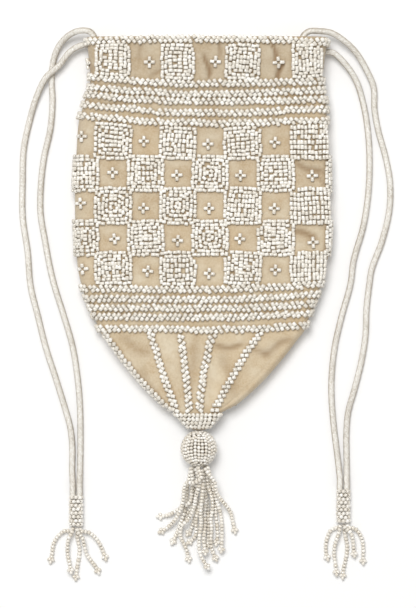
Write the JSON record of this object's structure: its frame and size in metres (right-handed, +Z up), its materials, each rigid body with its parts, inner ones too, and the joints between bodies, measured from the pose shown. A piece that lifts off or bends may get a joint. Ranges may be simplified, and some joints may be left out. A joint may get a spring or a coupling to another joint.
{
  "type": "beaded medicine bag",
  "caption": "Soft suede pouch wrapped in a checker of pearl beadwork, closed by braided drawstrings, with a beaded ball and tassel at its tip.",
  "frame": {"origin": "on the table under the middle of the bag's and tassel's box, the drawstrings and their sleeves left out", "axes": "+Z up from the table through the beaded front, +Y towards the bag's mouth, -Y towards the tassel, +X to the right in the picture"},
  "size_m": [0.2065, 0.3046, 0.0244],
  "materials": {
    "suede": "matte tan suede",
    "pearl_beads": "satin pearl glass beads",
    "satin_cord": "braided ivory satin",
    "wooden_core": "plain turned wood, hidden"
  },
  "bodies": {
    "root": {"bag_body": "suede", "top_beadwork": "pearl_beads", "upper_band_1": "pearl_beads", "upper_band_2": "pearl_beads", "upper_band_3": "pearl_beads", "upper_band_4": "pearl_beads", "upper_band_5": "pearl_beads", "checker_front": "pearl_beads", "checker_back": "pearl_beads", "lower_band_1": "pearl_beads", "lower_band_2": "pearl_beads", "lower_band_3": "pearl_beads", "lower_band_4": "pearl_beads", "lower_band_5": "pearl_beads", "cone_band_1": "pearl_beads", "cone_band_2": "pearl_beads", "cone_band_3": "pearl_beads", "cone_band_4": "pearl_beads", "cone_band_5": "pearl_beads", "cone_band_6": "pearl_beads", "cone_band_7": "pearl_beads", "cone_band_8": "pearl_beads", "cone_band_9": "pearl_beads", "collar": "pearl_beads", "ball_cover": "pearl_beads", "tassel_strand_1": "pearl_beads", "tassel_strand_2": "pearl_beads", "tassel_strand_3": "pearl_beads", "tassel_strand_4": "pearl_beads", "tassel_strand_5": "pearl_beads", "tassel_strand_6": "pearl_beads", "tassel_strand_7": "pearl_beads", "tassel_strand_8": "pearl_beads", "tassel_strand_9": "pearl_beads", "tassel_strand_10": "pearl_beads", "tassel_strand_11": "pearl_beads", "tassel_strand_12": "pearl_beads", "tassel_strand_13": "pearl_beads", "tassel_strand_14": "pearl_beads", "left_sleeve": "pearl_beads", "right_sleeve": "pearl_beads", "left_fringe_1": "pearl_beads", "left_fringe_2": "pearl_beads", "left_fringe_3": "pearl_beads", "left_fringe_4": "pearl_beads", "left_fringe_5": "pearl_beads", "right_fringe_1": "pearl_beads", "right_fringe_2": "pearl_beads", "right_fringe_3": "pearl_beads", "right_fringe_4": "pearl_beads", "right_fringe_5": "pearl_beads", "ball_core": "wooden_core", "hanging_thread": "satin_cord", "left_drawstring_hem": "satin_cord", "right_drawstring_hem": "satin_cord", "left_drawstring_outer": "satin_cord", "left_drawstring_inner": "satin_cord", "right_drawstring_outer": "satin_cord", "right_drawstring_inner": "satin_cord"}
  },
  "joints": []
}
